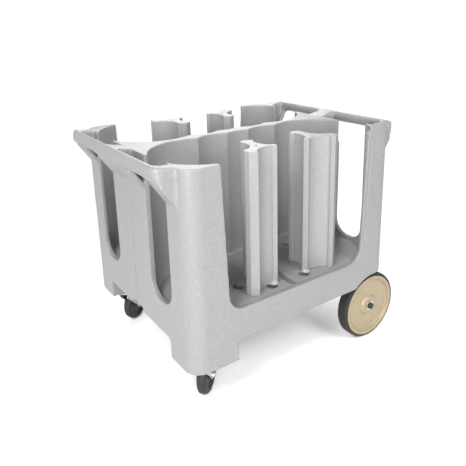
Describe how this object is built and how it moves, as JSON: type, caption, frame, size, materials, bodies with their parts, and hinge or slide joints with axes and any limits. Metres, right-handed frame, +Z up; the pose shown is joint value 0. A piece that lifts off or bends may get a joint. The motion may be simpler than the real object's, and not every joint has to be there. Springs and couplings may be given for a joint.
{
  "type": "plate dispenser cart",
  "caption": "Moulded dish caddy on large rear wheels and swivel casters: open sides, scalloped centre wall, hand slots, grip rails and lift-out towers between plate stacks.",
  "frame": {"origin": "on the floor under the middle of the caddy", "axes": "+X towards the large rear wheels, +Y to the far side, +Z up"},
  "size_m": [0.965, 0.74, 0.81],
  "materials": {
    "body": "moulded light grey granite-fleck polyethylene, fine satin texture",
    "tower": "moulded light grey granite-fleck polyethylene, fine satin texture",
    "wheel_disc": "moulded cream nylon, satin",
    "wheel_tyre": "dark grey solid rubber, slight sheen",
    "axle_steel": "zinc plated steel",
    "bright_steel": "bright chrome plated",
    "zinc_steel": "bright zinc plated pressed steel",
    "caster_core": "black moulded nylon",
    "caster_tread": "black rubber",
    "brake_steel": "zinc plated, painted pedal"
  },
  "bodies": {
    "cart": {"body_base": "body", "body_centre_wall": "body", "body_front_end": "body", "body_rear_end": "body", "rear_axle": "axle_steel", "axle_brackets": "axle_steel", "bracket_bolts": "axle_steel", "axle_spacers": "axle_steel", "axle_washers": "bright_steel", "axle_screws": "bright_steel", "caster_plate_near": "zinc_steel", "caster_kingpin_near": "zinc_steel", "caster_balls_near": "zinc_steel", "caster_plate_bolts_near": "zinc_steel", "caster_plate_far": "zinc_steel", "caster_kingpin_far": "zinc_steel", "caster_balls_far": "zinc_steel", "caster_plate_bolts_far": "zinc_steel"},
    "near_front_tower": {"tower_near_front": "tower"},
    "near_rear_tower": {"tower_near_rear": "tower"},
    "far_rear_tower": {"tower_far_rear": "tower"},
    "far_front_tower": {"tower_far_front": "tower"},
    "near_rear_wheel": {"wheel_disc_near": "wheel_disc", "wheel_tyre_near": "wheel_tyre", "wheel_bush_near": "axle_steel"},
    "far_rear_wheel": {"wheel_disc_far": "wheel_disc", "wheel_tyre_far": "wheel_tyre", "wheel_bush_far": "axle_steel"},
    "near_swivel": {"caster_fork_near": "zinc_steel", "caster_axle_bolt_near": "zinc_steel", "caster_nut_near": "zinc_steel", "brake_pin_near": "zinc_steel"},
    "near_caster_wheel": {"caster_core_near": "caster_core", "caster_tread_near": "caster_tread", "caster_bush_near": "zinc_steel"},
    "near_brake": {"brake_pedal_near": "brake_steel"},
    "far_swivel": {"caster_fork_far": "zinc_steel", "caster_axle_bolt_far": "zinc_steel", "caster_nut_far": "zinc_steel"},
    "far_caster_wheel": {"caster_core_far": "caster_core", "caster_tread_far": "caster_tread", "caster_bush_far": "zinc_steel"}
  },
  "joints": [
    {"name": "near_front_tower_lift", "type": "slide", "parent": "cart", "child": "near_front_tower", "axis": [0, 0, 1], "range_m": [0, 0.05]},
    {"name": "near_rear_tower_lift", "type": "slide", "parent": "cart", "child": "near_rear_tower", "axis": [0, 0, 1], "range_m": [0, 0.05]},
    {"name": "far_rear_tower_lift", "type": "slide", "parent": "cart", "child": "far_rear_tower", "axis": [0, 0, 1], "range_m": [0, 0.05]},
    {"name": "far_front_tower_lift", "type": "slide", "parent": "cart", "child": "far_front_tower", "axis": [0, 0, 1], "range_m": [0, 0.05]},
    {"name": "near_rear_wheel_spin", "type": "hinge", "parent": "cart", "child": "near_rear_wheel", "pos_m": [0.355, -0.336, 0.127], "axis": [0, 1, 0], "continuous": true},
    {"name": "far_rear_wheel_spin", "type": "hinge", "parent": "cart", "child": "far_rear_wheel", "pos_m": [0.355, 0.336, 0.127], "axis": [0, 1, 0], "continuous": true},
    {"name": "near_caster_swivel", "type": "hinge", "parent": "cart", "child": "near_swivel", "pos_m": [-0.3395, -0.282, 0.145], "axis": [0, 0, 1], "continuous": true},
    {"name": "near_caster_roll", "type": "hinge", "parent": "near_swivel", "child": "near_caster_wheel", "pos_m": [-0.30426, -0.25243, 0.0635], "axis": [-0.6428, 0.766, 0], "continuous": true},
    {"name": "near_brake_press", "type": "hinge", "parent": "near_swivel", "child": "near_brake", "pos_m": [-0.28128, -0.23315, 0.1311], "axis": [-0.6428, 0.766, 0], "range_deg": [0, 15]},
    {"name": "far_caster_swivel", "type": "hinge", "parent": "cart", "child": "far_swivel", "pos_m": [-0.3395, 0.282, 0.145], "axis": [0, 0, 1], "continuous": true},
    {"name": "far_caster_roll", "type": "hinge", "parent": "far_swivel", "child": "far_caster_wheel", "pos_m": [-0.29966, 0.305, 0.0635], "axis": [-0.5, 0.866, 0], "continuous": true}
  ]
}
